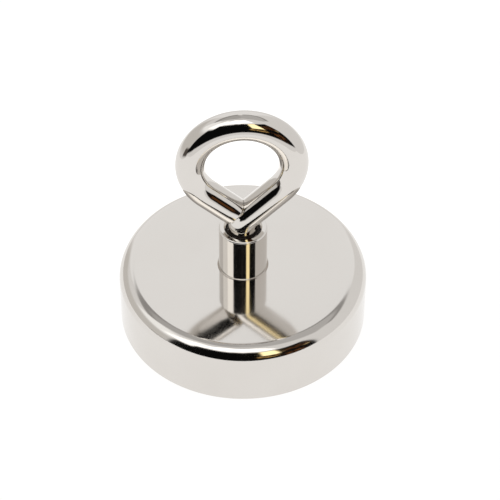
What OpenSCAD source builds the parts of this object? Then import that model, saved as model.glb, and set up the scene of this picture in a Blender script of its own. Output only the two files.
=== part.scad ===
// Pot magnet with a threaded bush and an eyebolt, of the kind thrown on a rope to fish for iron.
// The origin is the centre of the working face, with +Z along the axis towards the eye.
// The eye lies in the XZ plane. All sizes are in millimetres.

/* [Pot] */
// Outside diameter of the steel pot
pot_d = 67; // [56:0.5:90]
// Height of the pot
pot_h = 17.7; // [14.5:0.1:24]
// Thickness of the pot's closed end
pot_web = 7; // [5.5:0.5:9]
// Thickness of the pot's side wall
pot_wall = 5; // [4.5:0.5:8]
// Radius of the rounded edge around the closed end
pot_edge_r = 4.1; // [2:0.1:4.5]
// Radius of the rim's outer edge, beside the working face
rim_edge_r = 0.5; // [0.2:0.1:1]
// Chamfer of the rim's inner edge
rim_chamfer = 0.4; // [0.2:0.1:0.8]

/* [Eyebolt] */
// Diameter of the rod that the eyebolt is bent from
rod_d = 7.8; // [7:0.1:10]
// Inside diameter of the eye
eye_d = 19.2; // [16:0.2:28]
// Height above the bush at which the neck starts to bend
neck_rise = 0.6; // [0.4:0.1:5]
// Sideways offset of the eye from the shank, towards -X
eye_offset = 0.3; // [0:0.1:0.8]
// Slope of the strand that leads up from the neck, in degrees
lead_slope = 47; // [43:1:50]
// Slope of the strand that comes back to the neck, in degrees
end_slope = 43; // [40:1:46]
// Radius at the inside of the neck bend
neck_inner_r = 2.1; // [1:0.1:3]
// Gap between the shank's tip and the bottom of the bush
tip_rise = 2.5; // [1:0.1:4]
// Chamfer at the shank's tip
tip_chamfer = 1; // [0.6:0.1:1.4]

/* [Thread] */
// Pitch of the thread, which is M8 coarse on a 7.8 mm rod
pitch = 1.25; // [1:0.05:1.5]
// How far the thread's crest lies inside the rod's surface
crest_relief = 0.05; // [0.03:0.01:0.1]

/* [Bush] */
// Height of the bush above the pot
bush_h = 13.9; // [11.5:0.1:20]
// Gap between the rod and the edge of the countersunk mouth
mouth_gap = 1.25; // [0.8:0.05:2]
// Width of the flat rim around the mouth
mouth_rim = 1.35; // [1:0.05:3]
// Chamfer around the bush's top
bush_chamfer = 0.5; // [0.2:0.1:0.8]
// Wall between the thread and the spigot's outside
spigot_wall = 1.5; // [1.2:0.1:2]
// How far the spigot's end is spread into the pot
swage_spread = 1.25; // [0.8:0.05:1.6]
// Depth of the spread end
swage_h = 1.6; // [1:0.1:2.5]

/* [Magnet] */
// Depth of the magnet's face behind the rim
face_recess = 0.2; // [0.1:0.1:0.5]
// Width of the ring gap between the magnet and the wall
ring_gap = 2.4; // [1.6:0.1:4]
// Thickness of the adhesive behind the magnet
bond_t = 0.3; // [0.2:0.05:0.6]
// Depth of the resin that seals the ring gap
seal_t = 1.8; // [1:0.1:3]
// Chamfer around the magnet's two faces
magnet_chamfer = 0.6; // [0.3:0.1:1]

/* [Fits] */
// Radial clearance between the two threads
thread_gap = 0.15; // [0.12:0.01:0.18]
// Gap between the square end of the bent rod and the strand that leads up
end_gap = 0.12; // [0.08:0.01:0.3]
// How far the disc inside each joint of the rod's stretches stands proud of the rod
joint_swell = 0.02; // [0.01:0.01:0.03]
// Gap on each side of the spacer ring
spacer_gap = 0.1; // [0.05:0.05:0.3]
// Radial clearance of the thread-lock ring, on the shank and in the mouth
lock_gap = 0.08; // [0.05:0.01:0.1]

/* [Hidden] */
$fn = 96;

plated_steel = [0.86, 0.84, 0.81];
bright_nickel = [0.8, 0.79, 0.76];
dull_nickel = [0.66, 0.66, 0.65];
black_nylon = [0.08, 0.08, 0.09];
clear_glue = [0.75, 0.68, 0.5];
grey_resin = [0.2, 0.2, 0.21];
lock_brown = [0.32, 0.17, 0.08];

// Past the ends of a cut, so that no two faces lie on each other
over = 1;
// Thickness of the disc inside each joint of the rod's stretches
joint_t = 0.2;

pot_r = pot_d / 2;
cavity_r = pot_r - pot_wall;
cavity_h = pot_h - pot_web;
magnet_r = cavity_r - ring_gap;
magnet_top = cavity_h - bond_t;

rod_r = rod_d / 2;
bush_top = pot_h + bush_h;
tip_z = cavity_h + tip_rise;

// Thread profile, in shares of the pitch: an ISO flank rises 1 / tan(30) for each unit along
crest_flat = 1 / 8;
flank_rise = 1 / tan(30);
male_r = rod_r - crest_relief;
male_root_r = male_r - 0.6134 * pitch;
female_r = male_r + thread_gap;
female_root_r = female_r - 0.5413 * pitch;
thread_segments = 24;

// The bush's radii, all from the rod outwards. The mouth is a 90 degree countersink down to
// just outside the thread.
mouth_r = rod_r + mouth_gap;
bush_r = mouth_r + mouth_rim;
spigot_r = female_r + spigot_wall;
swage_r = spigot_r + swage_spread;
throat_r = max(female_r, rod_r) + 0.1;
throat_z = bush_top - (mouth_r - throat_r);

// The plain shank starts below the mouth, where the thread runs out
plain_z = throat_z + 0.1;

// The neck bend, and where the line of the strand that leads up crosses the shank's axis
neck_r = rod_r + neck_inner_r;
neck_z = bush_top + neck_rise;
neck_turn = 90 - lead_slope;
lead_foot_z = neck_z + neck_r * tan(neck_turn / 2);

// The eye's centre line, which the leading strand meets as a tangent
eye_line_r = eye_d / 2 + rod_r;
eye_x = -eye_offset;
eye_z = lead_foot_z + (eye_line_r + eye_x * sin(lead_slope)) / cos(lead_slope);
lead_x = eye_x + eye_line_r * sin(lead_slope);
lead_z = eye_z - eye_line_r * cos(lead_slope);

// The strand that comes back, also a tangent. Its centre line crosses that of the leading
// strand at (cross_x, cross_z), and its square end stops short of that strand's surface.
end_x = eye_x - eye_line_r * sin(end_slope);
end_z = eye_z - eye_line_r * cos(end_slope);
end_foot_z = end_z + end_x * tan(end_slope);
cross_x = (end_foot_z - lead_foot_z) / (tan(lead_slope) + tan(end_slope));
cross_z = end_foot_z - cross_x * tan(end_slope);
strand_angle = lead_slope + end_slope;
end_stop = (rod_r + end_gap + rod_r * abs(cos(strand_angle))) / sin(strand_angle);
stop_x = cross_x - end_stop * cos(end_slope);
stop_z = cross_z + end_stop * sin(end_slope);

// A solid of revolution with a rounded upper edge
module rounded_drum(r, h, edge) {
    cylinder(r = r, h = h - edge);
    cylinder(r = r - edge, h = h);
    translate([0, 0, h - edge]) rotate_extrude() translate([r - edge, 0]) circle(r = edge);
}

// A drum with both its edges chamfered
module chamfered_drum(r, h, chamfer) {
    cylinder(r1 = r - chamfer, r2 = r, h = chamfer);
    translate([0, 0, chamfer]) cylinder(r = r, h = h - 2 * chamfer);
    translate([0, 0, h - chamfer]) cylinder(r1 = r, r2 = r - chamfer, h = chamfer);
}

// A tube between two radii
module ring(inner_r, outer_r, z, h) {
    translate([0, 0, z]) difference() {
        cylinder(r = outer_r, h = h);
        translate([0, 0, -over]) cylinder(r = inner_r, h = h + 2 * over);
    }
}

// The solid inside a right-hand thread, from turn first to turn last. Every such solid is in
// phase with the others, because turn 0 starts at z = 0. A turn has four edges: the root's two
// and the crest's two. The last column of a row meets the first column one turn further on.
module thread_core(root_r, crest_r, first, last) {
    flank = (crest_r - root_r) / flank_rise / pitch;
    half_crest = crest_flat / 2;
    shares = [0.5 - half_crest - flank, 0.5 - half_crest, 0.5 + half_crest, 0.5 + half_crest + flank];
    radii = [root_r, crest_r, crest_r, root_r];
    edges = len(shares);
    rows = (last - first) * edges;
    columns = thread_segments;
    points = [
        for (row = [0 : rows - 1], column = [0 : columns])
            let (edge = row % edges,
                 turn = first + floor(row / edges) + shares[edge] + column / columns,
                 a = 360 * column / columns)
            [radii[edge] * cos(a), radii[edge] * sin(a), turn * pitch],
        [0, 0, first * pitch],
        [0, 0, (last + 1) * pitch]
    ];
    low_point = rows * (columns + 1);
    high_point = low_point + 1;
    function place(row, column) =
        column == columns && row + edges < rows ? (row + edges) * (columns + 1)
                                                : row * (columns + 1) + column;
    side = [
        for (row = [0 : rows - 2], column = [0 : columns - 1])
            each [[place(row, column), place(row + 1, column), place(row + 1, column + 1)],
                  [place(row, column), place(row + 1, column + 1), place(row, column + 1)]]
    ];
    low_end = [
        for (column = [0 : columns - 1]) [low_point, place(0, column), place(0, column + 1)],
        for (row = [edges : -1 : 1]) [low_point, place(row, 0), place(row - 1, 0)]
    ];
    high_end = [
        for (column = [0 : columns - 1])
            [high_point, place(rows - 1, column + 1), place(rows - 1, column)],
        for (row = [rows - edges : rows - 1])
            [high_point, place(row, columns), place(row - 1, columns)]
    ];
    polyhedron(points, concat(side, low_end, high_end), convexity = 10);
}

// A stretch of rod bent about the Y axis, from angle a0 to a1 around (x, z)
module bent_rod(x, z, line_r, a0, a1) {
    translate([x, 0, z]) rotate([90, 0, 0]) rotate([0, 0, a0])
        rotate_extrude(angle = a1 - a0) translate([line_r, 0]) circle(r = rod_r);
}

// A straight stretch of rod from (x0, z0) to (x1, z1)
module straight_rod(x0, z0, x1, z1) {
    translate([x0, 0, z0]) rotate([0, atan2(x1 - x0, z1 - z0), 0])
        cylinder(r = rod_r, h = norm([x1 - x0, z1 - z0]));
}

// The disc that makes two stretches of rod one solid where they meet, across a rod that has
// the given slope
module joint_disc(x, z, slope) {
    translate([x, 0, z]) rotate([0, 90 - slope, 0])
        cylinder(r = rod_r + joint_swell, h = joint_t, center = true);
}

// The shank above the thread, the neck bend and the strand that leads up to the eye
module neck_and_lead() {
    lead_start_x = neck_r * (1 - cos(neck_turn));
    lead_start_z = neck_z + neck_r * sin(neck_turn);
    straight_rod(0, plain_z, 0, neck_z);
    joint_disc(0, neck_z, 90);
    bent_rod(neck_r, neck_z, neck_r, 180 - neck_turn, 180);
    joint_disc(lead_start_x, lead_start_z, lead_slope);
    straight_rod(lead_start_x, lead_start_z, lead_x, lead_z);
}

module pot_shell() {
    color(plated_steel) difference() {
        union() {
            translate([0, 0, rim_edge_r]) rounded_drum(pot_r, pot_h - rim_edge_r, pot_edge_r);
            cylinder(r = pot_r - rim_edge_r, h = pot_h / 2);
            translate([0, 0, rim_edge_r])
                rotate_extrude() translate([pot_r - rim_edge_r, 0]) circle(r = rim_edge_r);
        }
        translate([0, 0, -over]) cylinder(r = cavity_r, h = cavity_h + over);
        translate([0, 0, -over])
            cylinder(r1 = cavity_r + rim_chamfer + over, r2 = cavity_r, h = rim_chamfer + over);
        cylinder(r = spigot_r, h = pot_h + over);
        translate([0, 0, cavity_h]) cylinder(r1 = swage_r, r2 = spigot_r, h = swage_h);
    }
}

module threaded_bush() {
    first_turn = floor(cavity_h / pitch) - 2;
    last_turn = ceil(bush_top / pitch);
    color(bright_nickel) difference() {
        union() {
            translate([0, 0, pot_h]) cylinder(r = bush_r, h = bush_h - bush_chamfer);
            translate([0, 0, bush_top - bush_chamfer])
                cylinder(r1 = bush_r, r2 = bush_r - bush_chamfer, h = bush_chamfer);
            translate([0, 0, cavity_h]) cylinder(r = spigot_r, h = pot_web);
            translate([0, 0, cavity_h]) cylinder(r1 = swage_r, r2 = spigot_r, h = swage_h);
        }
        thread_core(female_root_r, female_r, first_turn, last_turn);
        translate([0, 0, throat_z])
            cylinder(r1 = throat_r, r2 = mouth_r + over, h = mouth_r - throat_r + over);
    }
}

module magnet_disc() {
    color(dull_nickel) translate([0, 0, face_recess])
        chamfered_drum(magnet_r, magnet_top - face_recess, magnet_chamfer);
}

module spacer_ring() {
    seal_top = face_recess + magnet_chamfer + seal_t;
    color(black_nylon) ring(magnet_r + spacer_gap, cavity_r - spacer_gap, seal_top,
                            magnet_top - spacer_gap - seal_top);
}

module bond_layer() {
    color(clear_glue) translate([0, 0, magnet_top]) cylinder(r = cavity_r, h = bond_t);
}

module seal_ring() {
    color(grey_resin) ring(magnet_r, cavity_r, face_recess + magnet_chamfer, seal_t);
}

module eyebolt() {
    first_turn = floor(tip_z / pitch) - 2;
    last_turn = floor(plain_z / pitch);
    color(plated_steel) {
        intersection() {
            thread_core(male_root_r, male_r, first_turn, last_turn);
            union() {
                translate([0, 0, tip_z])
                    cylinder(r1 = rod_r - tip_chamfer, r2 = rod_r, h = tip_chamfer);
                translate([0, 0, tip_z + tip_chamfer])
                    cylinder(r = rod_r, h = plain_z - tip_z - tip_chamfer + pitch);
            }
        }
        neck_and_lead();
        joint_disc(lead_x, lead_z, lead_slope);
        bent_rod(eye_x, eye_z, eye_line_r, lead_slope - 90, 270 - end_slope);
        joint_disc(end_x, end_z, -end_slope);
        straight_rod(end_x, end_z, stop_x, stop_z);
    }
}

module thread_lock_ring() {
    inner_r = rod_r + lock_gap;
    low_z = throat_z + 0.3 * (bush_top - throat_z);
    high_z = bush_top - 0.2 * (bush_top - throat_z);
    // the mouth's wall, moved in by the gap
    low_r = throat_r + (low_z - throat_z) - lock_gap * sqrt(2);
    high_r = throat_r + (high_z - throat_z) - lock_gap * sqrt(2);
    color(lock_brown) rotate_extrude()
        polygon([[inner_r, low_z], [low_r, low_z], [high_r, high_z], [inner_r, high_z]]);
}

pot_shell();
threaded_bush();
magnet_disc();
spacer_ring();
bond_layer();
seal_ring();
eyebolt();
thread_lock_ring();
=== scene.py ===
"""Looks of a pot magnet with a threaded bush and a screw-in eyebolt, for magnet fishing.

Every length is in metres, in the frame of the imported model: the origin is the centre of the
working face and +Z runs up the axis to the eye, which lies in the XZ plane.
"""

from __future__ import annotations

import logging
import math
from dataclasses import dataclass, field
from enum import Enum

import bmesh
import bpy
from mathutils import Matrix, Vector


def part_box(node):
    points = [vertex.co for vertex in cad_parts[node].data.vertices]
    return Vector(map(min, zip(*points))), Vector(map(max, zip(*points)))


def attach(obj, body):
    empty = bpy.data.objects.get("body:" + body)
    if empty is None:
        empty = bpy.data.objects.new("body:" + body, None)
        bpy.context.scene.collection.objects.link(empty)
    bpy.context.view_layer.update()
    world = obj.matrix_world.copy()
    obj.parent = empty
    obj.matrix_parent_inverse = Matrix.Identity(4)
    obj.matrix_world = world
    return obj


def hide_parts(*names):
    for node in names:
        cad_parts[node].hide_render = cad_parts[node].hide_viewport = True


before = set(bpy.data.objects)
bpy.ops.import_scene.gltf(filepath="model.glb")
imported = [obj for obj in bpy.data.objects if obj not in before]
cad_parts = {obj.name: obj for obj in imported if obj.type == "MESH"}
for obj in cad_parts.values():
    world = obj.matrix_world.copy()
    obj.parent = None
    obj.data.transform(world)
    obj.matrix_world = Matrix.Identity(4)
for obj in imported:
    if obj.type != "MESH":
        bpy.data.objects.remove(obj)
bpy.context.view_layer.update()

LOG = logging.getLogger("pot_magnet")
MM = 0.001

# Steps round a full turn, for what is turned in a lathe and for the rod's section
LATHE_STEPS = 256
ROD_SIDES = 80
THREAD_STEPS = 64

# How far from a corner a straight stretch gets a guard ring, which keeps the shading of a flat
# or a cylinder true right up to its rounded edge
GUARD = 0.12 * MM

# Metal keeps its edges sharp from this angle on, in degrees
SHARP = 32.0

# Depths of a metric thread, as shares of its pitch
MALE_DEPTH = 0.6134
FEMALE_DEPTH = 0.5413

# Corners closer than this are one corner
SAME = 1e-7


Colour = tuple[float, float, float]


class Body(Enum):
    """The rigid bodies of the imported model."""

    POT = "pot"
    LIFT = "lift"
    EYE = "eye"


class Axis(Enum):
    """The axes that things are spun about, as unit vectors."""

    Y = (0.0, 1.0, 0.0)
    Z = (0.0, 0.0, 1.0)


# --- sizes read from the frame


def reaches(node: str, low: float, high: float) -> list[float]:
    """How far from the Z axis a CAD node's corners in a band of heights lie."""
    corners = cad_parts[node].data.vertices
    return [math.hypot(v.co.x, v.co.y) for v in corners if low <= v.co.z <= high]


@dataclass(frozen=True)
class Layout:
    """The heights and radii that more than one piece shares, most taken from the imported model."""

    pot_r: float
    pot_top: float
    flat_r: float
    cavity_r: float
    cavity_top: float
    magnet_r: float
    magnet_face: float
    magnet_top: float
    bush_r: float
    bush_top: float
    mouth_r: float
    swage_r: float
    rod_r: float
    eye_line_r: float
    eye_x: float
    eye_z: float
    tip_z: float
    swage_h: float = 1.6 * MM
    pitch: float = 1.25 * MM
    neck_rise: float = 0.6 * MM
    neck_inner_r: float = 2.1 * MM
    lead_slope: float = 47.0
    end_slope: float = 43.0
    crest_relief: float = 0.05 * MM
    thread_gap: float = 0.15 * MM
    spigot_wall: float = 1.5 * MM
    seat_depth: float = 0.2 * MM

    @classmethod
    def from_frame(cls) -> Layout:
        """Reads the sizes off the CAD nodes.

        Returns:
            The layout.
        """
        hair, film = 0.05 * MM, 0.001 * MM
        clear_of_neck = 58 * MM
        pot_low, pot_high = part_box("pot_shell")
        bond_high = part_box("bond_layer")[1]
        magnet_low, magnet_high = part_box("magnet_disc")
        bush_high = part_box("threaded_bush")[1]
        bolt_low, bolt_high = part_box("eyebolt")
        # the eye's top is a plain bent rod
        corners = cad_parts["eyebolt"].data.vertices
        rod_r = round(max(abs(v.co.y) for v in corners if v.co.z > clear_of_neck), 5)
        outer_r = (bolt_high.x - bolt_low.x) / 2
        return cls(
            pot_r=-pot_low.x,
            pot_top=pot_high.z,
            flat_r=max(reaches("pot_shell", pot_high.z - film, pot_high.z)),
            cavity_r=bond_high.x,
            cavity_top=bond_high.z,
            magnet_r=magnet_high.x,
            magnet_face=magnet_low.z,
            magnet_top=magnet_high.z,
            bush_r=max(reaches("threaded_bush", pot_high.z + hair, bush_high.z)),
            bush_top=bush_high.z,
            mouth_r=min(reaches("threaded_bush", bush_high.z - hair, bush_high.z + hair)),
            swage_r=bush_high.x,
            rod_r=rod_r,
            eye_line_r=outer_r - rod_r,
            eye_x=(bolt_high.x + bolt_low.x) / 2,
            eye_z=bolt_high.z - outer_r,
            tip_z=bolt_low.z,
        )

    @property
    def swage_top(self) -> float:
        """The height at which the spigot's spread end begins."""
        return self.cavity_top + self.swage_h

    @property
    def male_r(self) -> float:
        """The radius of the shank's thread."""
        return self.rod_r - self.crest_relief

    @property
    def male_root_r(self) -> float:
        """The radius of that thread's root."""
        return self.male_r - MALE_DEPTH * self.pitch

    @property
    def female_r(self) -> float:
        """The radius of the bush's thread, at the bottom of its groove."""
        return self.male_r + self.thread_gap

    @property
    def female_root_r(self) -> float:
        """The radius of the bush's thread at its crest."""
        return self.female_r - FEMALE_DEPTH * self.pitch

    @property
    def spigot_r(self) -> float:
        """The radius of the bush's spigot."""
        return self.female_r + self.spigot_wall

    @property
    def throat_r(self) -> float:
        """The radius of the countersink's lower end."""
        return self.female_r + 0.1 * MM

    @property
    def throat_z(self) -> float:
        """The height of the countersink's lower end."""
        return self.bush_top - (self.mouth_r - self.throat_r)

    @property
    def plain_z(self) -> float:
        """The height at which the shank's plain part starts."""
        return self.throat_z + 0.1 * MM

    @property
    def neck_z(self) -> float:
        """The height at which the neck starts to bend."""
        return self.bush_top + self.neck_rise

    @property
    def neck_r(self) -> float:
        """The radius of the neck bend, on the rod's centre line."""
        return self.rod_r + self.neck_inner_r

    @property
    def neck_turn(self) -> float:
        """How far the neck turns, in degrees."""
        return 90.0 - self.lead_slope

    @property
    def lead_foot_z(self) -> float:
        """The height at which the leading strand's line crosses the axis."""
        return self.neck_z + self.neck_r * math.tan(math.radians(self.neck_turn / 2))

    @property
    def end_x(self) -> float:
        """Where the strand that comes back leaves the eye."""
        return self.eye_x - self.eye_line_r * math.sin(math.radians(self.end_slope))

    @property
    def end_foot_z(self) -> float:
        """The height at which that strand's line crosses the axis."""
        slope = math.radians(self.end_slope)
        return self.eye_z - self.eye_line_r * math.cos(slope) + self.end_x * math.tan(slope)

    @property
    def lead_x(self) -> float:
        """Where the leading strand meets the eye."""
        return self.eye_x + self.eye_line_r * math.sin(math.radians(self.lead_slope))

    @property
    def lead_z(self) -> float:
        """The height at which the leading strand meets the eye."""
        return self.eye_z - self.eye_line_r * math.cos(math.radians(self.lead_slope))


# --- modelling helpers


def deselect_everything() -> None:
    """Leaves edit mode and deselects every object."""
    if bpy.context.object and bpy.context.object.mode != "OBJECT":
        bpy.ops.object.mode_set(mode="OBJECT")
    bpy.ops.object.select_all(action="DESELECT")


def make_active(piece: bpy.types.Object) -> None:
    """Selects one object alone and makes it the active one.

    Args:
        piece: the object.
    """
    deselect_everything()
    piece.select_set(True)
    bpy.context.view_layer.objects.active = piece


def apply_modifier(piece: bpy.types.Object, kind: str, **settings: object) -> None:
    """Adds a modifier to a piece and applies it.

    Args:
        piece: the object.
        kind: Blender's name for the type of modifier.
        **settings: the modifier's own settings.
    """
    make_active(piece)
    bpy.ops.object.modifier_add(type=kind)
    modifier = piece.modifiers[-1]
    for name, value in settings.items():
        setattr(modifier, name, value)
    bpy.ops.object.modifier_apply(modifier=modifier.name)


def boolean(piece: bpy.types.Object, tool: bpy.types.Object, operation: str) -> None:
    """Combines a piece with a tool, by an operation, and throws the tool away."""
    apply_modifier(piece, "BOOLEAN", operation=operation, object=tool, solver="EXACT")
    bpy.data.objects.remove(tool)


def smooth(piece: bpy.types.Object, degrees: float) -> None:
    """Shades a piece smooth, apart from the edges that are sharper than an angle."""
    make_active(piece)
    bpy.ops.object.shade_smooth_by_angle(angle=math.radians(degrees))


def draw_line(name: str, corners: list[tuple[float, float]]) -> bpy.types.Object:
    """Starts an object as a line in the XZ plane, one extruded edge after another.

    Args:
        name: the object's name.
        corners: the line's corners, as (x, z).

    Returns:
        The object, left in edit mode.
    """
    deselect_everything()
    bpy.ops.mesh.primitive_plane_add(size=MM)
    line = bpy.context.object
    line.name = name
    bpy.ops.object.mode_set(mode="EDIT")
    bpy.ops.mesh.select_all(action="SELECT")
    bpy.ops.mesh.merge(type="CENTER")
    bpy.ops.transform.translate(value=(corners[0][0], 0.0, corners[0][1]))
    for (x0, z0), (x1, z1) in zip(corners, corners[1:]):
        bpy.ops.mesh.extrude_vertices_move(
            TRANSFORM_OT_translate={"value": (x1 - x0, 0.0, z1 - z0)}
        )
    return line


def close_up() -> None:
    """Makes the faces of the object in edit mode point outwards, and leaves edit mode."""
    bpy.ops.mesh.select_all(action="SELECT")
    bpy.ops.mesh.normals_make_consistent(inside=False)
    bpy.ops.object.mode_set(mode="OBJECT")


@dataclass
class Profile:
    """Half of a lathe-turned section, as (radius, height) corners that are drawn one by one."""

    corners: list[tuple[float, float]] = field(default_factory=list)

    def to(self, radius: float, height: float) -> Profile:
        """Adds one corner and gives the profile itself, so that calls can be chained."""
        self.corners.append((radius, height))
        return self

    def straight(self, radius: float, height: float) -> Profile:
        """Adds a straight stretch to a corner, with a guard ring beside each of its ends.

        Args:
            radius: the new corner's distance from the axis.
            height: its height.

        Returns:
            The profile itself.
        """
        r0, z0 = self.corners[-1]
        length = math.hypot(radius - r0, height - z0)
        if length > 4 * GUARD:
            for share in (GUARD / length, 1 - GUARD / length):
                self.to(r0 + (radius - r0) * share, z0 + (height - z0) * share)
        return self.to(radius, height)

    def arc(
        self, radius: float, height: float, bend: float, start: float, end: float, steps: int
    ) -> Profile:
        """Adds the points of an arc, both ends included.

        Args:
            radius: the distance of the arc's centre from the axis.
            height: the height of the arc's centre.
            bend: the arc's radius.
            start: the angle of its first point, in degrees from the outward direction.
            end: the angle of its last point.
            steps: the number of chords.

        Returns:
            The profile itself.
        """
        for step in range(steps + 1):
            angle = math.radians(start + (end - start) * step / steps)
            corner = radius + bend * math.cos(angle), height + bend * math.sin(angle)
            if step or not self.corners:
                self.to(*corner)
            elif math.dist(corner, self.corners[-1]) > SAME:
                self.straight(*corner)
        return self

    def hollow(self, radius: float, height: float, depth: float, shares: list[float]) -> Profile:
        """Adds a hollow with upright ends, from the last corner's side to another's.

        Args:
            radius: the far side's distance from the axis.
            height: the height of both sides.
            depth: how far the middle lies above that, or below it if negative.
            shares: where the corners are, as shares of the way.

        Returns:
            The profile itself.
        """
        start = self.corners[-1][0]
        for share in shares:
            dip = depth * (1 - (2 * share - 1) ** 2) ** 0.5
            self.to(start + (radius - start) * share, height + dip)
        return self

    def turned(self, name: str, steps: int = LATHE_STEPS) -> bpy.types.Object:
        """Draws the profile edge by edge and spins it about the Z axis to a closed solid.

        A profile whose ends both lie on the axis closes at its poles. Any other is closed by
        an edge from its last corner back to its first.

        Args:
            name: the piece's name.
            steps: the number of steps round the turn.

        Returns:
            The solid.
        """
        piece = draw_line(name, self.corners)
        bpy.ops.mesh.select_all(action="SELECT")
        on_axis = max(self.corners[0][0], self.corners[-1][0]) < SAME
        if not on_axis:
            self._join_ends(piece)
        bpy.ops.mesh.select_all(action="SELECT")
        bpy.ops.mesh.spin(
            steps=steps, angle=2 * math.pi, center=(0, 0, 0), axis=Axis.Z.value,
            use_auto_merge=True,
        )
        bpy.ops.mesh.select_all(action="SELECT")
        bpy.ops.mesh.remove_doubles(threshold=SAME)
        close_up()
        return piece

    def _join_ends(self, piece: bpy.types.Object) -> None:
        """Draws the edge from the profile's last corner back to its first.

        Args:
            piece: the object, in edit mode.
        """
        shape = bmesh.from_edit_mesh(piece.data)
        for vertex in shape.verts:
            vertex.select_set(len(vertex.link_edges) == 1)
        shape.select_flush(False)
        bpy.ops.mesh.edge_face_add()


def close_thread_end(core: bpy.types.Object, middle: float, upper: bool) -> None:
    """Closes one open end of a thread with a fan of faces to a point on the axis.

    Args:
        core: the thread, in edit mode.
        middle: a height between its two ends.
        upper: whether the upper end is closed.
    """
    bpy.ops.mesh.select_all(action="DESELECT")
    bpy.ops.mesh.select_non_manifold(extend=False)
    shape = bmesh.from_edit_mesh(core.data)
    for vertex in shape.verts:
        if vertex.select and (vertex.co.z > middle) != upper:
            vertex.select_set(False)
    shape.select_flush(False)
    bmesh.update_edit_mesh(core.data)
    bpy.ops.mesh.extrude_edges_move()
    bpy.ops.mesh.merge(type="CENTER")


def thread_core(
    name: str, crest_r: float, root_r: float, pitch: float, low: float, high: float
) -> bpy.types.Object:
    """The solid inside a right-hand thread, which goes past two heights by a turn or two.

    The crest passes the +X direction half a pitch above each whole pitch, as in the CAD.

    Args:
        name: the object's name.
        crest_r: the crest's radius.
        root_r: the root's radius.
        pitch: the thread's pitch.
        low: the lower height.
        high: the upper height.

    Returns:
        The solid.
    """
    flank = (crest_r - root_r) * math.tan(math.radians(30))
    half_crest = pitch / 16
    first = (math.floor(low / pitch) - 2) * pitch
    turns = math.ceil((high - first) / pitch) + 2
    middle = first + pitch / 2
    section = [
        (root_r, first),
        (root_r, middle - half_crest - flank),
        (crest_r, middle - half_crest),
        (crest_r, middle + half_crest),
        (root_r, middle + half_crest + flank),
        (root_r, first + pitch),
    ]
    core = draw_line(name, section)
    bpy.ops.object.mode_set(mode="OBJECT")
    apply_modifier(
        core, "SCREW", axis="Z", angle=2 * math.pi, screw_offset=pitch, iterations=turns,
        steps=THREAD_STEPS, render_steps=THREAD_STEPS, use_merge_vertices=True,
        merge_threshold=SAME,
    )
    make_active(core)
    bpy.ops.object.mode_set(mode="EDIT")
    bpy.ops.mesh.select_all(action="SELECT")
    bpy.ops.mesh.remove_doubles(threshold=SAME)
    for upper in (False, True):
        close_thread_end(core, (low + high) / 2, upper)
    close_up()
    return core


class Rod:
    """A round rod, drawn as a circle that is pushed along and bent stretch by stretch."""

    def __init__(self, name: str, radius: float, x: float, z: float, slope: float = 90.0) -> None:
        """Draws the first circle, square to the rod's direction in the XZ plane.

        Args:
            name: the object's name.
            radius: the rod's radius.
            x: where the rod starts.
            z: where the rod starts.
            slope: the rod's direction, in degrees from +X towards +Z.
        """
        deselect_everything()
        self.place = Vector((x, 0.0, z))
        self.slope = slope
        bpy.ops.mesh.primitive_circle_add(
            vertices=ROD_SIDES, radius=radius, fill_type="NOTHING", location=self.place,
            rotation=(0.0, math.radians(90.0 - slope), 0.0),
        )
        self.piece = bpy.context.object
        self.piece.name = name
        bpy.ops.object.transform_apply(location=True, rotation=True, scale=True)
        bpy.ops.object.mode_set(mode="EDIT")
        bpy.ops.mesh.select_all(action="SELECT")

    @property
    def heading(self) -> Vector:
        """The rod's direction at its end."""
        angle = math.radians(self.slope)
        return Vector((math.cos(angle), 0.0, math.sin(angle)))

    def push(self, length: float, rings: int = 1) -> Rod:
        """Pushes the end straight on.

        Args:
            length: how far.
            rings: how many stretches it is drawn in.

        Returns:
            The rod itself, so that calls can be chained.
        """
        step = self.heading * (length / rings)
        for _ in range(rings):
            bpy.ops.mesh.extrude_region_move(TRANSFORM_OT_translate={"value": step})
        self.place += step * rings
        return self

    def bend(self, radius: float, turn: float, steps: int) -> Rod:
        """Bends the end round an arc.

        Args:
            radius: the arc's radius, on the rod's centre line.
            turn: how far the heading turns, in degrees: positive to the rod's left, which is
                anticlockwise as seen from the front.
            steps: how many stretches it is drawn in.

        Returns:
            The rod itself.
        """
        side = 1.0 if turn > 0 else -1.0
        left = Vector((-self.heading.z, 0.0, self.heading.x))
        centre = self.place + left * (radius * side)
        bpy.ops.mesh.spin(
            steps=steps, angle=math.radians(turn), center=centre, axis=Axis.Y.value,
            use_auto_merge=False,
        )
        # the front looks along +Y, so an anticlockwise turn there is a negative one about Y
        spin = Matrix.Rotation(math.radians(-turn), 3, "Y")
        self.place = centre + spin @ (self.place - centre)
        self.slope += turn
        return self

    def narrow(self, share: float) -> Rod:
        """Scales the end ring about its middle by a share of its size."""
        bpy.ops.transform.resize(value=(share,) * 3, center_override=self.place)
        return self

    def closed(self) -> bpy.types.Object:
        """Fills both ends, leaves edit mode and makes the faces point outwards.

        Returns:
            The finished solid.
        """
        bpy.ops.mesh.select_all(action="DESELECT")
        bpy.ops.mesh.select_non_manifold(extend=False)
        bpy.ops.mesh.edge_face_add()
        close_up()
        return self.piece


# --- shared shader effects


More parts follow.
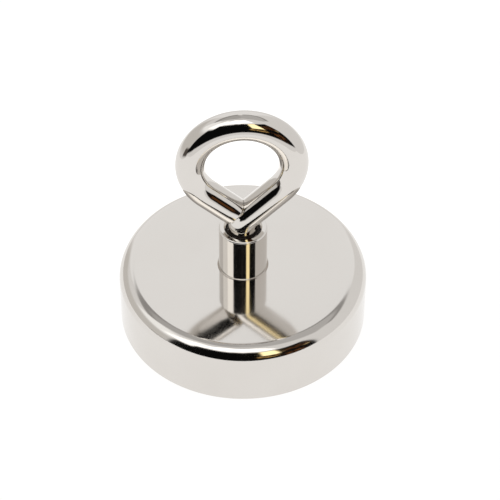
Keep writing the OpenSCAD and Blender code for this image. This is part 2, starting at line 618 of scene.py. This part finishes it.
class Wiring:
    """A node tree under construction."""

    tree: bpy.types.NodeTree

    def add(self, kind: str, **settings: object) -> bpy.types.Node:
        """Adds a node and sets it up.

        Args:
            kind: the node's type.
            **settings: a setting is an attribute of the node where it has one of that name,
                and otherwise the input of that name, with _ for a space: a value or a socket.

        Returns:
            The node.
        """
        node = self.tree.nodes.new(kind)
        for name, value in settings.items():
            if hasattr(node, name):
                setattr(node, name, value)
            else:
                self.feed(value, node.inputs[name.replace("_", " ")])
        return node

    def feed(self, value: object, target: bpy.types.NodeSocket) -> None:
        """Gives an input its value, or links a socket to it.

        Args:
            value: a socket, or the input's value.
            target: the input.
        """
        if isinstance(value, bpy.types.NodeSocket):
            self.tree.links.new(value, target)
        else:
            target.default_value = value

    def math(self, operation: str, *values: object) -> bpy.types.NodeSocket:
        """Adds a Math node and gives its result.

        Args:
            operation: the node's operation.
            *values: its inputs, as sockets or numbers.

        Returns:
            The output socket.
        """
        node = self.add("ShaderNodeMath", operation=operation)
        for value, target in zip(values, node.inputs):
            self.feed(value, target)
        return node.outputs[0]

    def mixed(
        self, mask: bpy.types.NodeSocket, low: object, high: Colour
    ) -> bpy.types.NodeSocket:
        """Adds a mix of two colours and gives its result.

        Args:
            mask: how much of the second colour shows, from 0 to 1.
            low: the first colour, as a socket or a value.
            high: the second colour.

        Returns:
            The output socket.
        """
        node = self.add("ShaderNodeMix", data_type="RGBA", Factor=mask)
        under, over = (socket for socket in node.inputs if socket.type == "RGBA")
        self.feed(low if isinstance(low, bpy.types.NodeSocket) else (*low, 1.0), under)
        over.default_value = (*high, 1.0)
        return next(socket for socket in node.outputs if socket.type == "RGBA")


class Effect(Wiring):
    """A node group that materials share. A subclass names its inputs and wires its nodes."""

    title = "effect"
    inputs: dict[str, float] = {}

    def __init__(self) -> None:
        """Builds the group."""
        self.tree = bpy.data.node_groups.new(self.title, "ShaderNodeTree")
        for name, value in self.inputs.items():
            socket = self.tree.interface.new_socket(
                name=name, in_out="INPUT", socket_type="NodeSocketFloat"
            )
            socket.default_value = value
        self.tree.interface.new_socket(
            name="Value", in_out="OUTPUT", socket_type="NodeSocketFloat"
        )
        self.given = self.add("NodeGroupInput").outputs
        self.place = self.add("ShaderNodeTexCoord").outputs["Object"]
        self.feed(self.value(), self.add("NodeGroupOutput").inputs["Value"])

    def value(self) -> bpy.types.NodeSocket:
        """Wires the group's nodes and gives the socket that holds its value."""
        raise NotImplementedError


class HairScratches(Effect):
    """Fine scratches of handling, in two crossing directions. Its value is 1 inside a scratch."""

    title = "hair scratches"
    inputs = {"Amount": 0.5}

    def value(self) -> bpy.types.NodeSocket:
        """Stretches noise along two directions and keeps its thin crests."""
        layers = []
        directions = (((0.4, 0.2, 0.9), (60, 1500, 900)), ((1.1, 0.5, -0.7), (90, 1900, 1100)))
        for turn, stretch in directions:
            turned = self.add(
                "ShaderNodeMapping", Vector=self.place, Rotation=turn, Scale=stretch
            )
            noise = self.add("ShaderNodeTexNoise", Vector=turned.outputs[0], Scale=1.0, Detail=1.0)
            edge = self.math("SUBTRACT", noise.outputs["Fac"], 0.72)
            layers.append(self.math("MULTIPLY", edge, 12.0))
        shown = self.add("ShaderNodeClamp", Value=self.math("MAXIMUM", *layers))
        return self.math("MULTIPLY", shown.outputs[0], self.given["Amount"])


class TurnedRings(Effect):
    """The rings that a lathe tool leaves. Its value goes from 0 to 1 with the radius and height."""

    title = "turned rings"
    inputs = {"Fineness": 9000.0}

    def value(self) -> bpy.types.NodeSocket:
        """Feeds the distance from the axis, and the height, to a one-dimensional noise."""
        x, y, z = self.add("ShaderNodeSeparateXYZ", Vector=self.place).outputs
        square = self.math("ADD", self.math("MULTIPLY", x, x), self.math("MULTIPLY", y, y))
        reach = self.math("ADD", self.math("SQRT", square), z)
        noise = self.add(
            "ShaderNodeTexNoise", noise_dimensions="1D", Scale=1.0, Detail=2.0,
            W=self.math("MULTIPLY", reach, self.given["Fineness"]),
        )
        return noise.outputs["Fac"]


class Clouds(Effect):
    """Soft patches, for tarnish, uneven plating and dust. Its value goes from 0 to 1."""

    title = "clouds"
    inputs = {"Size": 70.0, "Detail": 4.0}

    def value(self) -> bpy.types.NodeSocket:
        """Widens the middle of a soft noise."""
        noise = self.add(
            "ShaderNodeTexNoise", Vector=self.place, Roughness=0.55,
            Scale=self.given["Size"], Detail=self.given["Detail"],
        )
        spread = self.add(
            "ShaderNodeMapRange", Value=noise.outputs["Fac"], From_Min=0.3, From_Max=0.7
        )
        return spread.outputs[0]


class Specks(Effect):
    """Small round specks, for bubbles in resin and grains in a coating. 1 in a speck's middle."""

    title = "specks"
    inputs = {"Size": 1800.0, "Share": 0.25}

    def value(self) -> bpy.types.NodeSocket:
        """Keeps the middles of some of the cells."""
        cells = self.add("ShaderNodeTexVoronoi", Vector=self.place, Scale=self.given["Size"])
        near = self.math("SUBTRACT", 0.45, cells.outputs["Distance"])
        draw = self.add("ShaderNodeSeparateXYZ", Vector=cells.outputs["Color"]).outputs[0]
        kept = self.math("LESS_THAN", draw, self.given["Share"])
        shown = self.add("ShaderNodeClamp", Value=self.math("MULTIPLY", near, 3.0))
        return self.math("MULTIPLY", shown.outputs[0], kept)


@dataclass(frozen=True)
class Effects:
    """The node groups, each built once and used by every material that wants it."""

    scratches: Effect
    rings: Effect
    clouds: Effect
    specks: Effect

    @classmethod
    def built(cls) -> Effects:
        """Builds all the groups."""
        return cls(HairScratches(), TurnedRings(), Clouds(), Specks())


# --- finishes


class Surface(Wiring):
    """A material under construction, around one Principled shader."""

    def __init__(self, name: str, **settings: object) -> None:
        """Makes the material.

        Args:
            name: the material's name.
            **settings: the shader's inputs, with _ for a space.
        """
        self.material = bpy.data.materials.new(name)
        self.material.use_nodes = True
        self.tree = self.material.node_tree
        self.shader = self.tree.nodes["Principled BSDF"].inputs
        self.heights: list[bpy.types.NodeSocket] = []
        for setting, value in settings.items():
            self.feed(value, self.shader[setting.replace("_", " ")])

    def use(self, effect: Effect, **values: float) -> bpy.types.NodeSocket:
        """Adds a shared effect.

        Args:
            effect: the node group.
            **values: its inputs, where they differ from the group's own.

        Returns:
            The output socket.
        """
        return self.add("ShaderNodeGroup", node_tree=effect.tree, **values).outputs["Value"]

    def between(
        self, mask: bpy.types.NodeSocket, low: float, high: float
    ) -> bpy.types.NodeSocket:
        """Turns a mask from 0 to 1 into a number between two others."""
        return self.add("ShaderNodeMapRange", Value=mask, To_Min=low, To_Max=high).outputs[0]

    def raise_by(self, mask: bpy.types.NodeSocket, height: float) -> None:
        """Raises the surface's relief, in metres, where a mask is 1."""
        self.heights.append(self.between(mask, 0.0, height))

    def finished(self) -> bpy.types.Material:
        """Joins the relief to the shader.

        Returns:
            The material.
        """
        if self.heights:
            total = self.heights[0]
            for height in self.heights[1:]:
                total = self.math("ADD", total, height)
            bump = self.add("ShaderNodeBump", Strength=1.0, Distance=1.0, Height=total)
            self.feed(bump.outputs[0], self.shader["Normal"])
        return self.material


@dataclass(frozen=True)
class Nickel:
    """Nickel plate: its two tones, and the marks of how the part beneath was made."""

    name: str
    light: Colour = (0.71, 0.683, 0.65)
    dark: Colour = (0.69, 0.661, 0.627)
    smoothest: float = 0.05
    roughest: float = 0.1
    ring_height: float = 0.0
    peel_height: float = 0.0
    peel_size: float = 420.0
    scratches: float = 0.5
    cloud_size: float = 60.0

    def made(self, effects: Effects) -> bpy.types.Material:
        """Builds the material.

        Args:
            effects: the shared effects.

        Returns:
            The material.
        """
        surface = Surface(self.name, Metallic=1.0)
        clouds = surface.use(effects.clouds, Size=self.cloud_size)
        colour = surface.mixed(clouds, self.dark, self.light)
        surface.feed(colour, surface.shader["Base Color"])
        roughness = surface.between(clouds, self.smoothest, self.roughest)
        surface.feed(roughness, surface.shader["Roughness"])
        if self.scratches:
            scratch = surface.use(effects.scratches, Amount=self.scratches)
            surface.raise_by(scratch, -0.0006 * MM)
        if self.ring_height:
            surface.raise_by(surface.use(effects.rings), self.ring_height)
        if self.peel_height:
            peel = surface.use(effects.clouds, Size=self.peel_size, Detail=1.0)
            surface.raise_by(peel, self.peel_height)
        return surface.finished()


@dataclass(frozen=True)
class Resin:
    """A poured or moulded plastic: its two tones, its gloss and its bubbles."""

    name: str
    light: Colour
    dark: Colour
    roughness: float = 0.3
    see_through: float = 0.0
    shine: float = 0.5
    bubble_depth: float = 0.0
    wave_height: float = 0.004 * MM

    def made(self, effects: Effects) -> bpy.types.Material:
        """Builds the material.

        Args:
            effects: the shared effects.

        Returns:
            The material.
        """
        surface = Surface(
            self.name, Roughness=self.roughness, Transmission_Weight=self.see_through,
            Specular_IOR_Level=self.shine,
        )
        clouds = surface.use(effects.clouds, Size=240.0)
        surface.feed(surface.mixed(clouds, self.dark, self.light), surface.shader["Base Color"])
        surface.raise_by(surface.use(effects.clouds, Size=520.0, Detail=2.0), self.wave_height)
        if self.bubble_depth:
            surface.raise_by(surface.use(effects.specks), -self.bubble_depth)
        return surface.finished()


@dataclass(frozen=True)
class Finishes:
    """The finished materials, by the record's slots."""

    by_slot: dict[str, bpy.types.Material]

    @classmethod
    def made(cls, effects: Effects) -> Finishes:
        """Builds all the materials.

        Args:
            effects: the shared effects.

        Returns:
            The finishes.
        """
        recipes = {
            "pot_nickel": Nickel(
                "pot nickel", smoothest=0.06, roughest=0.12, ring_height=0.00012 * MM,
                scratches=0.6,
            ),
            "bush_nickel": Nickel(
                "bush nickel", smoothest=0.04, roughest=0.08, ring_height=0.00015 * MM
            ),
            "eye_nickel": Nickel(
                "eye nickel", smoothest=0.04, roughest=0.08, peel_height=0.003 * MM
            ),
            "magnet_nickel": Nickel(
                "magnet nickel", light=(0.6, 0.6, 0.59), dark=(0.52, 0.52, 0.51),
                smoothest=0.22, roughest=0.34, peel_height=0.002 * MM, peel_size=2600.0,
                scratches=1.0,
            ),
            "spacer_nylon": Resin("black nylon", (0.03, 0.03, 0.032), (0.018, 0.018, 0.02), 0.45),
            "bond_glue": Resin(
                "clear glue", (0.78, 0.7, 0.5), (0.7, 0.6, 0.4), 0.25, see_through=0.4
            ),
            "seal_resin": Resin(
                "grey resin", (0.085, 0.085, 0.09), (0.05, 0.05, 0.055), 0.16,
                bubble_depth=0.02 * MM, wave_height=0.02 * MM,
            ),
            "lock_resin": Resin(
                "thread lock", (0.02, 0.011, 0.006), (0.008, 0.005, 0.004), 0.1, shine=0.12,
                wave_height=0.02 * MM,
            ),
        }
        return cls({slot: recipe.made(effects) for slot, recipe in recipes.items()})


# --- the pieces


@dataclass
class Piece:
    """A finished piece, the CAD node that it stands for and its body."""

    shape: bpy.types.Object
    node: str
    body: Body


@dataclass
class Assembly:
    """What every sub-assembly has: the shared sizes and the finishes."""

    layout: Layout
    finishes: Finishes

    def piece(
        self, shape: bpy.types.Object, node: str, body: Body, slot: str, degrees: float = 50.0
    ) -> Piece:
        """Shades and finishes a shape, and ties it to its body, its slot and its CAD node.

        Args:
            shape: the modelled solid.
            node: the CAD node that it stands for.
            body: the body that it rides on.
            slot: the record's slot.
            degrees: the angle over which an edge stays sharp.

        Returns:
            The finished piece.
        """
        smooth(shape, degrees)
        faces = shape.data.polygons
        shape.data.materials.clear()
        shape.data.materials.append(self.finishes.by_slot[slot])
        faces.foreach_set("material_index", [0] * len(faces))
        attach(shape, body.value)
        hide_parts(node)
        return Piece(shape, node, body)


@dataclass
class Pot(Assembly):
    """The steel pot with its magnet, and the layers that hold and seal the magnet in it."""

    rim_edge_r: float = 0.5 * MM
    rim_chamfer: float = 0.4 * MM
    seat_gap: float = 0.38 * MM
    seat_lip: float = 0.02 * MM
    slack: float = 0.015 * MM
    magnet_edge_r: float = 0.6 * MM
    spacer_edge_r: float = 0.3 * MM
    seal_sink: float = 0.45 * MM
    skin: float = 0.01 * MM

    def build(self) -> list[Piece]:
        """Builds the sub-assembly and gives its pieces."""
        return [self.shell(), self.magnet(), self.spacer(), self.bond(), self.seal()]

    def shell(self) -> Piece:
        """The pot, turned from the seat under the bush outwards, down and round to the swage."""
        a = self.layout
        edge_r = a.pot_r - a.flat_r
        seat_r, seat_z = a.bush_r + self.seat_gap, a.pot_top - a.seat_depth
        section = Profile().to(a.spigot_r + self.slack, seat_z).straight(a.bush_r, seat_z)
        section.straight(seat_r, a.pot_top - self.seat_lip)
        section.to(seat_r + 1.5 * self.seat_lip, a.pot_top)
        section.arc(a.flat_r, a.pot_top - edge_r, edge_r, 90, 0, 32)
        section.arc(a.pot_r - self.rim_edge_r, self.rim_edge_r, self.rim_edge_r, 0, -90, 8)
        section.straight(a.cavity_r + self.rim_chamfer, 0.0)
        section.straight(a.cavity_r, self.rim_chamfer)
        section.straight(a.cavity_r, a.cavity_top)
        section.straight(a.swage_r + self.slack, a.cavity_top)
        section.straight(a.spigot_r + self.slack, a.swage_top)
        shape = section.turned("pot_turned_shell")
        return self.piece(shape, "pot_shell", Body.POT, "pot_nickel", SHARP)

    def magnet(self) -> Piece:
        """The magnet disc, with the rounded edges of a plated block."""
        a = self.layout
        edge, side = self.magnet_edge_r, a.magnet_r - self.skin
        section = Profile().to(0.0, a.magnet_face)
        section.arc(side - edge, a.magnet_face + edge, edge, -90, 0, 8)
        section.arc(side - edge, a.magnet_top - edge, edge, 0, 90, 8)
        section.straight(0.0, a.magnet_top)
        shape = section.turned("magnet_disc_plated")
        return self.piece(shape, "magnet_disc", Body.POT, "magnet_nickel", SHARP)

    def spacer(self) -> Piece:
        """The moulded spacer ring, with softened corners."""
        low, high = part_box("spacer_ring")
        inner = min(reaches("spacer_ring", low.z, high.z))
        edge = self.spacer_edge_r
        section = Profile()
        for radius, height, start in (
            (high.x - edge, low.z + edge, -90), (high.x - edge, high.z - edge, 0),
            (inner + edge, high.z - edge, 90), (inner + edge, low.z + edge, 180),
        ):
            section.arc(radius, height, edge, start, start + 90, 5)
        shape = section.turned("spacer_ring_moulded")
        return self.piece(shape, "spacer_ring", Body.POT, "spacer_nylon")

    def bond(self) -> Piece:
        """The glue behind the magnet, with a bulging edge."""
        a = self.layout
        low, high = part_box("bond_layer")
        half = (high.z - low.z) / 2
        section = Profile().to(0.0, low.z)
        section.arc(a.cavity_r - half - 2 * self.skin, low.z + half, half, -90, 90, 8)
        section.straight(0.0, high.z)
        shape = section.turned("bond_layer_spread")
        return self.piece(shape, "bond_layer", Body.POT, "bond_glue")

    def seal(self) -> Piece:
        """The poured seal, which creeps up the magnet and the wall and sinks between them."""
        low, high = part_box("seal_ring")
        inner, outer = self.layout.magnet_r, self.layout.cavity_r
        section = Profile().to(outer - self.skin, high.z).straight(inner, high.z)
        section.straight(inner, low.z)
        section.hollow(outer, low.z, self.seal_sink, [step / 14 for step in range(1, 14)])
        section.to(outer - self.skin, low.z)
        shape = section.turned("seal_ring_poured")
        return self.piece(shape, "seal_ring", Body.POT, "seal_resin")


@dataclass
class Bush(Assembly):
    """The threaded bush, and the ring of thread lock that set in its mouth."""

    foot_step: float = 0.16 * MM
    top_edge_r: float = 0.45 * MM
    lip_edge_r: float = 0.12 * MM
    foot_rise: float = 0.05 * MM
    seat_film: float = 0.005 * MM
    bead_h: float = 0.24 * MM
    bead_sink: float = 0.1 * MM

    def build(self) -> list[Piece]:
        """Builds the sub-assembly and gives its pieces."""
        return [self.body(), self.lock()]

    def body(self) -> Piece:
        """The bush: turned outside, countersunk mouth, and a cut thread right through."""
        a = self.layout
        foot_r = a.bush_r - self.foot_step
        foot_z = a.pot_top - a.seat_depth + self.seat_film
        lip = self.lip_edge_r
        section = Profile().to(0.0, a.cavity_top).straight(a.swage_r, a.cavity_top)
        section.straight(a.spigot_r, a.swage_top)
        section.straight(a.spigot_r, foot_z).straight(foot_r, foot_z)
        section.straight(foot_r, a.pot_top + self.foot_rise)
        section.straight(a.bush_r, a.pot_top + self.foot_rise + self.foot_step)
        edge = self.top_edge_r
        section.arc(a.bush_r - edge, a.bush_top - edge, edge, 0, 90, 10)
        section.arc(a.mouth_r + lip * 0.4, a.bush_top - lip, lip, 90, 135, 4)
        section.straight(a.throat_r, a.throat_z)
        section.straight(0.0, a.throat_z)
        shape = section.turned("threaded_bush_turned", 192)
        core = thread_core(
            "cut thread", a.female_r, a.female_root_r, a.pitch, a.cavity_top - MM,
            a.throat_z + 0.3 * MM,
        )
        boolean(shape, core, "DIFFERENCE")
        return self.piece(shape, "threaded_bush", Body.POT, "bush_nickel", SHARP)

    def lock(self) -> Piece:
        """The thread lock: squeezed out, with a hollow top between the shank and the mouth."""
        low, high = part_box("thread_lock_ring")
        inner = min(reaches("thread_lock_ring", low.z, high.z))
        foot = max(reaches("thread_lock_ring", low.z - SAME, low.z + SAME))
        top = low.z + self.bead_h
        outer = foot + (high.x - foot) * (top - low.z) / (high.z - low.z)
        section = Profile().to(inner, low.z).to(foot, low.z).straight(outer, top)
        section.hollow(inner, top, -self.bead_sink, [0.1, 0.25, 0.5, 0.75, 0.9]).to(inner, top)
        shape = section.turned("thread_lock_bead", 128)
        return self.piece(shape, "thread_lock_ring", Body.LIFT, "lock_resin")


@dataclass
class Eyebolt(Assembly):
    """The eyebolt, bent from one rod, with a cut thread on its shank."""

    end_gap: float = 0.12 * MM
    end_edge_r: float = 0.25 * MM
    pressed: float = 0.38 * MM
    tip_chamfer: float = MM
    root: float = 0.3 * MM

    def build(self) -> list[Piece]:
        """Builds the sub-assembly.

        Returns:
            Its piece.
        """
        a = self.layout
        rod = Rod("eyebolt_bent_rod", a.rod_r, 0.0, a.plain_z)
        rod.push(a.neck_z - a.plain_z, 3).bend(a.neck_r, -a.neck_turn, 16)
        rod.push(math.dist((rod.place.x, rod.place.z), (a.lead_x, a.lead_z)), 4)
        rod.bend(a.eye_line_r, 360.0 - a.end_slope - a.lead_slope, 120)
        rod.push(self.end_strand() + self.pressed - self.end_edge_r, 4)
        self.square_end(rod)
        shape = rod.closed()
        boolean(shape, self.thread(), "UNION")
        return [self.piece(shape, "eyebolt", Body.EYE, "eye_nickel", SHARP)]

    def end_strand(self) -> float:
        """The length of the strand that comes back, from the eye to the rod's square end."""
        a = self.layout
        lead, end = math.radians(a.lead_slope), math.radians(a.end_slope)
        across = (a.end_foot_z - a.lead_foot_z) / (math.tan(lead) + math.tan(end))
        met = lead + end
        short = (a.rod_r + self.end_gap + a.rod_r * abs(math.cos(met))) / math.sin(met)
        return (across - a.end_x) / math.cos(end) - short

    def square_end(self, rod: Rod) -> None:
        """Draws the rod's rounded edge and its flat end face.

        Args:
            rod: the rod, one edge radius short of its end.
        """
        edge, steps = self.end_edge_r, 6
        radius = self.layout.rod_r
        for step in range(1, steps + 1):
            angle = math.radians(90 * step / steps)
            last = math.radians(90 * (step - 1) / steps)
            rod.push(edge * (math.sin(angle) - math.sin(last)))
            inner = self.layout.rod_r - edge * (1 - math.cos(angle))
            rod.narrow(inner / radius)
            radius = inner
        for share in (0.92, 0.84, 0.7, 0.5, 0.25, 0.05):
            rod.push(0.0).narrow(share * self.layout.rod_r / radius)
            radius = share * self.layout.rod_r
        self.press(rod)

    def press(self, rod: Rod) -> None:
        """Dents the end face where it would touch the leading strand.

        Args:
            rod: the rod, whose end face is drawn.
        """
        reach = self.layout.rod_r + self.end_gap
        shape = bmesh.from_edit_mesh(rod.piece.data)
        for vertex in shape.verts:
            ahead = (vertex.co - rod.place).dot(rod.heading)
            across = (vertex.co - rod.place - rod.heading * ahead).length
            if across > self.layout.rod_r * 1.01 or not -MM < ahead < MM:
                continue
            room = reach - self.pressed - (reach**2 - min(vertex.co.y**2, reach**2)) ** 0.5
            if ahead > room:
                vertex.co += rod.heading * (room - ahead)
        bmesh.update_edit_mesh(rod.piece.data)

    def thread(self) -> bpy.types.Object:
        """The threaded shank: a screw whose tip is chamfered and whose top is inside the rod."""
        a = self.layout
        top = a.plain_z + self.root
        screw = thread_core(
            "screw", a.male_r, a.male_root_r, a.pitch, a.tip_z - MM, a.plain_z + 0.4 * MM
        )
        blank = Profile().to(0.0, a.tip_z).straight(a.rod_r - self.tip_chamfer, a.tip_z)
        blank.straight(a.rod_r, a.tip_z + self.tip_chamfer).straight(a.rod_r, top)
        blank.straight(0.0, top)
        boolean(screw, blank.turned("blank", 96), "INTERSECT")
        return screw


# --- surroundings


@dataclass(frozen=True)
class Patch:
    """A patch of the surroundings that the plate mirrors.

    Azimuths count from the -Y direction, positive towards +X, and elevations from the
    horizon, all in degrees.
    """

    colour: Colour
    azimuths: tuple[float, float]
    elevations: tuple[float, float]
    soft: float = 5.0


@dataclass
class Surroundings(Wiring):
    """A white room with a bright ceiling and a dark side, from where the object is looked at."""

    room: Colour = (0.86, 0.85, 0.84)
    patches: tuple[Patch, ...] = (
        # what the flat top mirrors, behind the object
        Patch((1.01, 1.01, 1.01), (152, 400), (5, 51), 6.0),
        Patch((1.01, 1.01, 1.01), (-400, -152), (5, 51), 6.0),
        # the dimmer parts of the ceiling
        Patch((0.56, 0.55, 0.54), (85, 400), (55, 84), 6.0),
        Patch((0.5, 0.49, 0.48), (-400, -112), (53, 84), 6.0),
        Patch((0.34, 0.33, 0.32), (100, 176), (49, 55), 4.0),
        Patch((0.34, 0.33, 0.32), (-176, -100), (47, 55), 4.0),
        Patch((0.7, 0.69, 0.68), (-400, 400), (83, 120), 5.0),
        Patch((0.69, 0.67, 0.64), (-150, -66), (-14, 27), 10.0),
        # the bright ceiling light, from the left over the top
        Patch((1.15, 1.15, 1.14), (-114, -70), (32, 60), 8.0),
        Patch((1.6, 1.6, 1.58), (-82, -44), (40, 72), 6.0),
        Patch((1.9, 1.9, 1.88), (-54, 34), (56, 81), 5.0),
        # the dark side
        Patch((0.1, 0.085, 0.075), (-84, -60), (-18, -4), 5.0),
        Patch((0.004, 0.004, 0.004), (-65, -42), (-13, 36), 5.0),
        Patch((0.004, 0.004, 0.004), (-50, 58), (-12, 50), 4.0),
    )
    glints: tuple[Patch, ...] = (
        Patch((0.1, 0.085, 0.07), (-18, 10), (46, 53), 3.0),
        Patch((0.08, 0.03, 0.01), (30, 57), (22, 40), 3.0),
        Patch((0.16, 0.06, 0.018), (30, 47), (-8, 10), 4.0),
        Patch((0.5, 0.3, 0.1), (9, 26), (4, 16), 3.0),
        Patch((0.5, 0.36, 0.17), (49, 56), (19, 25), 2.0),
    )
    lamp: Patch = Patch((1.9, 1.6, 0.9), (13, 28), (20, 49), 3.0)

    def build(self) -> None:
        """Builds the world: the camera sees white, and everything else sees the patches."""
        world = bpy.data.worlds.new("white room")
        bpy.context.scene.world = world
        world.use_nodes = True
        self.tree = world.node_tree
        self.tree.nodes.clear()
        place = self.add("ShaderNodeTexCoord").outputs["Generated"]
        x, y, z = self.add("ShaderNodeSeparateXYZ", Vector=place).outputs
        rise = self.degrees("ARCSINE", z)
        turn = self.degrees("ARCTAN2", x, self.math("MULTIPLY", y, -1.0))
        clutter = self.add("ShaderNodeTexNoise", Vector=place, Scale=13.0, Detail=3.0)
        lumps = self.inside(clutter.outputs["Fac"], 0.5, 2.0, 0.1)
        colour: object = self.room
        for patch in (*self.patches, *self.glints, self.lamp):
            mask = self.math(
                "MULTIPLY",
                self.inside(turn, *patch.azimuths, patch.soft),
                self.inside(rise, *patch.elevations, patch.soft),
            )
            if patch in self.glints:
                mask = self.math("MULTIPLY", mask, lumps)
            colour = self.mixed(mask, colour, patch.colour)
        lit = self.add("ShaderNodeBackground", Color=colour)
        plain = self.add("ShaderNodeBackground", Color=(1.0, 1.0, 1.0, 1.0))
        seen = self.add("ShaderNodeLightPath").outputs["Is Camera Ray"]
        choice = self.add("ShaderNodeMixShader")
        for source, target in zip((seen, lit.outputs[0], plain.outputs[0]), choice.inputs):
            self.feed(source, target)
        self.add("ShaderNodeOutputWorld", Surface=choice.outputs[0])

    def degrees(self, operation: str, *values: object) -> bpy.types.NodeSocket:
        """Adds an inverse function and turns its result into degrees."""
        return self.math("MULTIPLY", self.math(operation, *values), math.degrees(1.0))

    def inside(
        self, angle: bpy.types.NodeSocket, low: float, high: float, soft: float
    ) -> bpy.types.NodeSocket:
        """A mask that is 1 between two angles.

        Args:
            angle: the angle, in degrees.
            low: the lower limit.
            high: the upper limit.
            soft: the width of each limit's soft edge.

        Returns:
            The mask.
        """
        edges = []
        for limit, start, end in ((low, 0.0, 1.0), (high, 1.0, 0.0)):
            edge = self.add(
                "ShaderNodeMapRange", interpolation_type="SMOOTHSTEP", Value=angle,
                From_Min=limit - soft / 2, From_Max=limit + soft / 2, To_Min=start, To_Max=end,
            )
            edges.append(edge.outputs[0])
        return self.math("MULTIPLY", *edges)


@dataclass
class Table:
    """The sheet under the object, which ends out of sight. It is dark grey and glows, and the glow
    is brighter near the object: a painted pool of light on the sheet, which the pot's side also
    mirrors.
    """

    half_width: float = 0.16
    behind: float = 0.045
    thickness: float = 0.5 * MM
    drop: float = 0.03 * MM
    near: float = 0.034
    far: float = 0.045
    # Glow of the sheet near the object and far from it: the brighter glow near the object is a
    # painted pool of light
    near_glow: float = 1.2
    far_glow: float = 0.95

    def build(self) -> None:
        """Builds the sheet and stages it."""
        deselect_everything()
        bpy.ops.mesh.primitive_plane_add(size=2 * self.half_width, location=(0, self.behind, 0))
        sheet = bpy.context.object
        sheet.name = "glowing_sheet"
        bpy.ops.object.mode_set(mode="EDIT")
        bpy.ops.mesh.select_all(action="SELECT")
        bpy.ops.mesh.extrude_region_move(
            TRANSFORM_OT_translate={"value": (0, 0, -self.thickness)}
        )
        bpy.ops.mesh.select_all(action="SELECT")
        bpy.ops.mesh.normals_make_consistent(inside=False)
        bpy.ops.transform.translate(value=(0, 0, -self.drop))
        bpy.ops.object.mode_set(mode="OBJECT")
        # Painted light: a dark grey sheet that glows, most near the object, in place of a white
        # sheet lit by the room
        surface = Surface(
            "glowing sheet", Base_Color=(0.1, 0.1, 0.1, 1.0), Roughness=0.9,
            Specular_IOR_Level=0.1, Emission_Color=(1.0, 0.995, 0.99, 1.0),
        )
        place = surface.add("ShaderNodeTexCoord").outputs["Object"]
        reach = surface.add("ShaderNodeVectorMath", operation="LENGTH", Vector=place)
        glow = surface.add(
            "ShaderNodeMapRange", Value=reach.outputs["Value"], From_Min=self.near,
            From_Max=self.far, To_Min=self.near_glow, To_Max=self.far_glow,
        )
        surface.feed(glow.outputs[0], surface.shader["Emission Strength"])
        sheet.data.materials.append(surface.finished())


@dataclass
class Viewpoint:
    """The camera: a long lens, looking down at the object from the front."""

    target: tuple[float, float, float] = (1.887 * MM, -0.109 * MM, 22.74 * MM)
    distance: float = 0.6
    elevation: float = 44.89
    azimuth: float = 3.3
    roll: float = 0.26
    lens: float = 160.6

    def build(self) -> None:
        """Places the camera and makes it the scene's."""
        camera = bpy.data.objects.new("camera", bpy.data.cameras.new("camera"))
        bpy.context.scene.collection.objects.link(camera)
        camera.data.lens = self.lens
        camera.data.sensor_width = 36.0
        camera.data.clip_start = 0.05
        camera.data.clip_end = 10.0
        turn = Matrix.Rotation(math.radians(-self.azimuth), 4, "Z")
        tilt = Matrix.Rotation(math.radians(90.0 - self.elevation), 4, "X")
        roll = Matrix.Rotation(math.radians(self.roll), 4, "Z")
        turned = turn @ tilt @ roll
        back = turned.to_3x3() @ Vector((0.0, 0.0, self.distance))
        camera.matrix_world = Matrix.Translation(Vector(self.target) + back) @ turned
        bpy.context.scene.camera = camera
        bpy.context.scene.view_settings.view_transform = "Standard"


def main() -> None:
    """Builds the pieces, then the surroundings and the camera."""
    logging.basicConfig(level=logging.INFO)
    layout = Layout.from_frame()
    finishes = Finishes.made(Effects.built())
    for assembly in (Pot, Bush, Eyebolt):
        for piece in assembly(layout, finishes).build():
            name, faces = piece.shape.name, len(piece.shape.data.polygons)
            LOG.info("%s: %s on %s, %d faces", name, piece.node, piece.body.value, faces)
    Table().build()
    Surroundings().build()
    Viewpoint().build()


if __name__ == "__main__":
    main()
